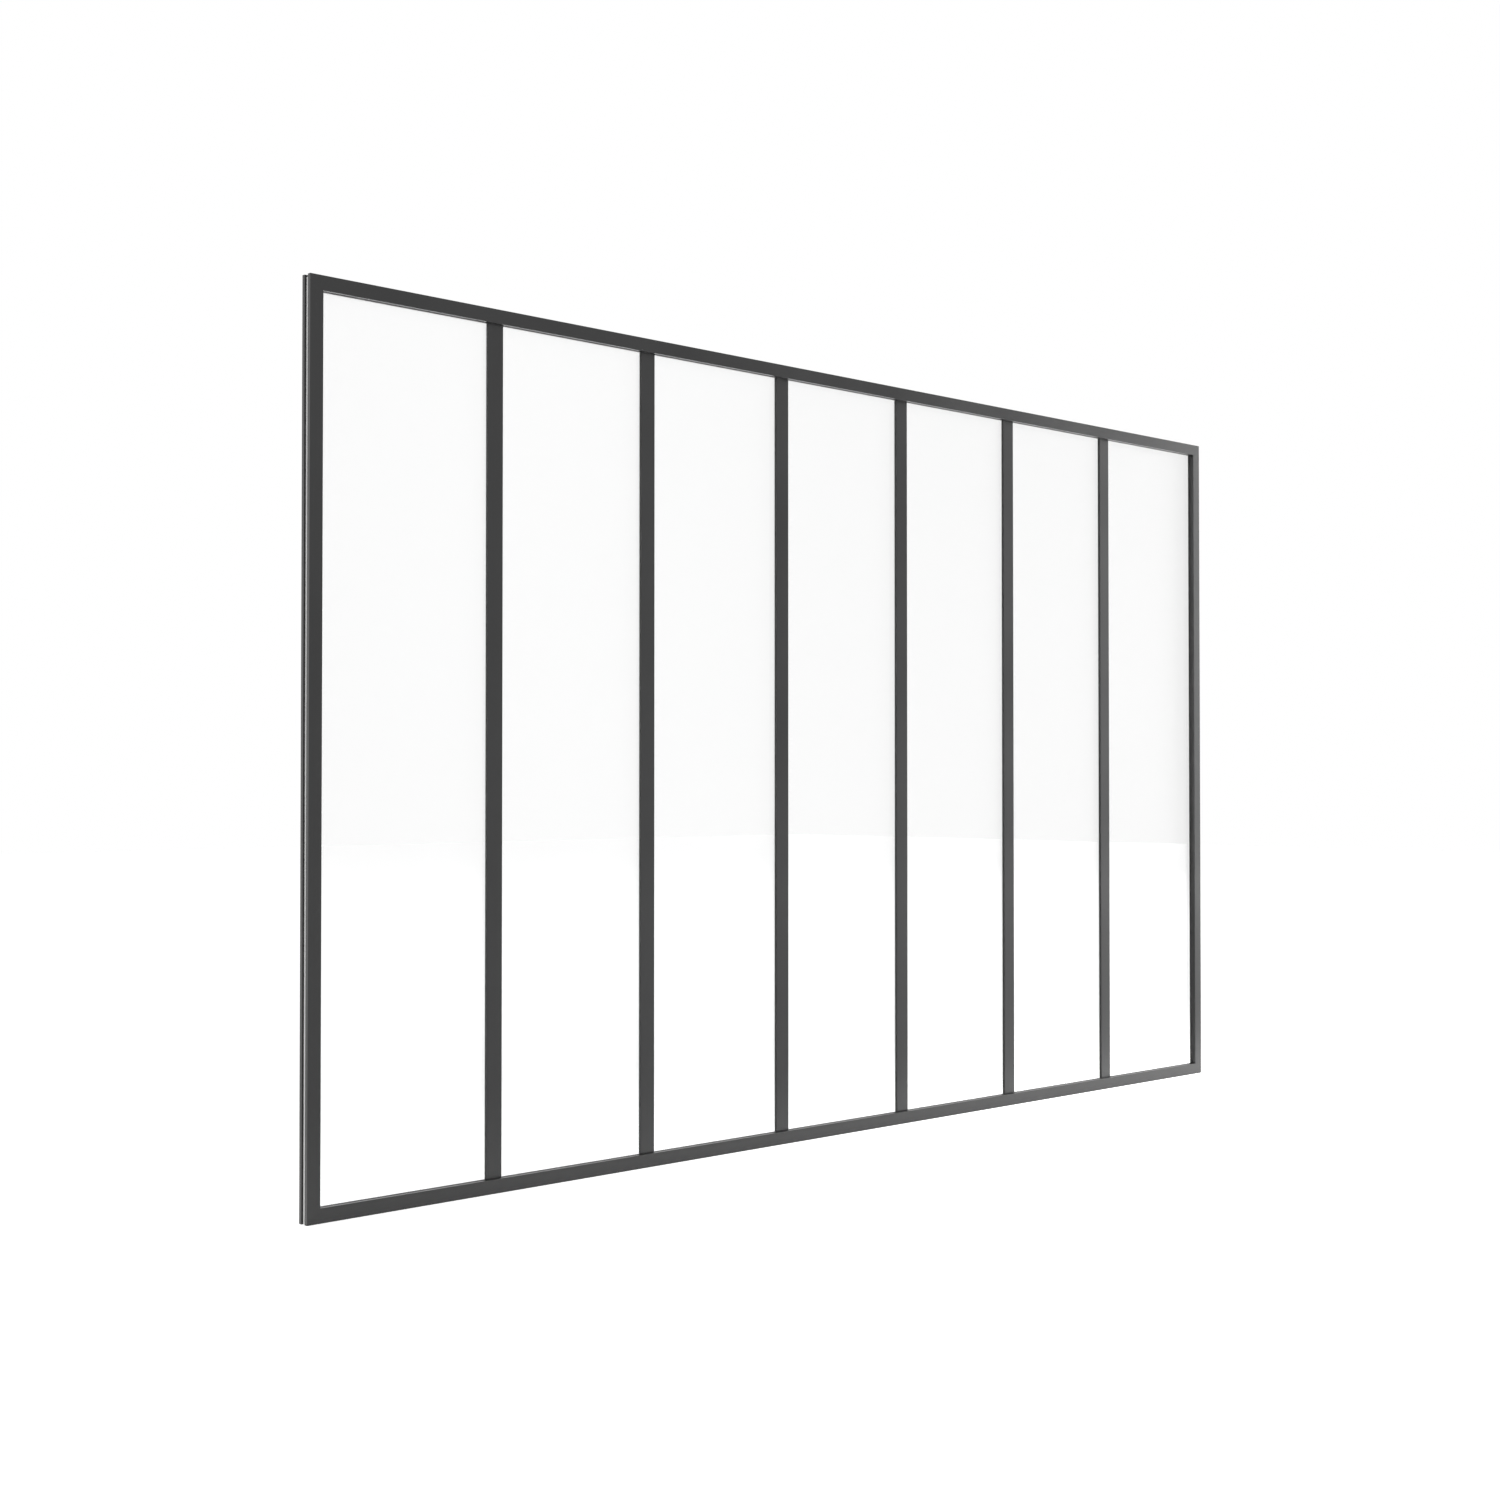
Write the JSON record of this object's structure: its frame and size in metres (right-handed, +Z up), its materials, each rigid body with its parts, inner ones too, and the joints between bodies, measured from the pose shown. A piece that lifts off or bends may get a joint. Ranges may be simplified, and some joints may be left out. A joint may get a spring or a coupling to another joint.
{
  "type": "glass partition",
  "caption": "Fixed interior glass partition: upright clear panes in a slim black metal frame, parted by narrow glazing bars, set into a wall opening to let light through.",
  "frame": {"origin": "middle of the underside, halfway through the depth, on the bottom spacer's flush face", "axes": "+X along the partition to the right seen from the front, +Y from the front face to the back, +Z up"},
  "size_m": [2.13, 0.0206, 1.3],
  "materials": {
    "frame_paint": "satin black powder coat on aluminium",
    "spacer_plastic": "pale grey extruded plastic",
    "gasket_rubber": "matt black",
    "clear_glass": "clear, polished"
  },
  "bodies": {
    "root": {"back_bottom_bead": "frame_paint", "back_left_bead": "frame_paint", "back_right_bead": "frame_paint", "back_top_bead": "frame_paint", "bar_cover_1": "frame_paint", "bar_cover_2": "frame_paint", "bar_cover_3": "frame_paint", "bar_cover_4": "frame_paint", "bar_cover_5": "frame_paint", "bar_cover_6": "frame_paint", "bottom_spacer": "spacer_plastic", "front_bottom_rail": "frame_paint", "front_left_stile": "frame_paint", "front_right_stile": "frame_paint", "front_top_rail": "frame_paint", "gasket_1": "gasket_rubber", "gasket_2": "gasket_rubber", "gasket_3": "gasket_rubber", "gasket_4": "gasket_rubber", "gasket_5": "gasket_rubber", "gasket_6": "gasket_rubber", "gasket_7": "gasket_rubber", "glass_pane_1": "clear_glass", "glass_pane_2": "clear_glass", "glass_pane_3": "clear_glass", "glass_pane_4": "clear_glass", "glass_pane_5": "clear_glass", "glass_pane_6": "clear_glass", "glass_pane_7": "clear_glass", "glazing_bar_1": "frame_paint", "glazing_bar_2": "frame_paint", "glazing_bar_3": "frame_paint", "glazing_bar_4": "frame_paint", "glazing_bar_5": "frame_paint", "glazing_bar_6": "frame_paint", "left_spacer": "spacer_plastic", "right_spacer": "spacer_plastic", "top_spacer": "spacer_plastic"}
  },
  "joints": []
}
